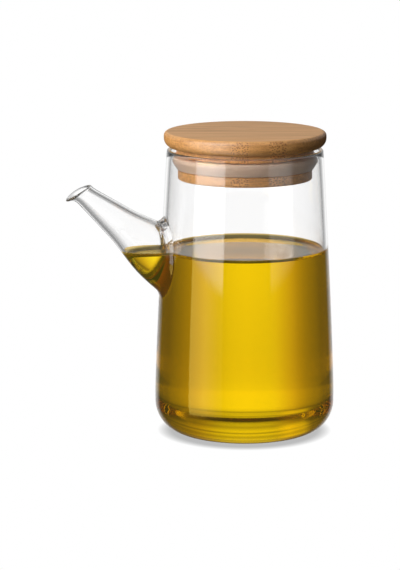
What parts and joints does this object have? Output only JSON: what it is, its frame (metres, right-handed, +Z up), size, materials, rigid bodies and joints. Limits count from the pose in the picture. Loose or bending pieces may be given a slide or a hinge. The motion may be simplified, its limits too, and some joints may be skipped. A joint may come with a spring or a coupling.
{
  "type": "oil and vinegar bottle",
  "caption": "Clear glass oil bottle with a slanting pouring spout on its side, a turned bamboo lid with a silicone seal, and oil up to about two thirds.",
  "frame": {"origin": "centre of the flat base, on the axis of the round body", "axes": "+Z up along the body's axis; the spout points along -X; +Y is to the side"},
  "size_m": [0.1274, 0.085, 0.1436],
  "materials": {
    "clear_glass": "clear polished borosilicate glass",
    "oil": "clear golden-yellow oil with a smooth level surface",
    "bamboo": "satin turned laminated bamboo",
    "silicone": "smooth translucent greyish-white silicone"
  },
  "bodies": {
    "root": {"glass_bottle": "clear_glass", "oil": "oil", "bamboo_lid": "bamboo", "silicone_seal": "silicone"}
  },
  "joints": []
}
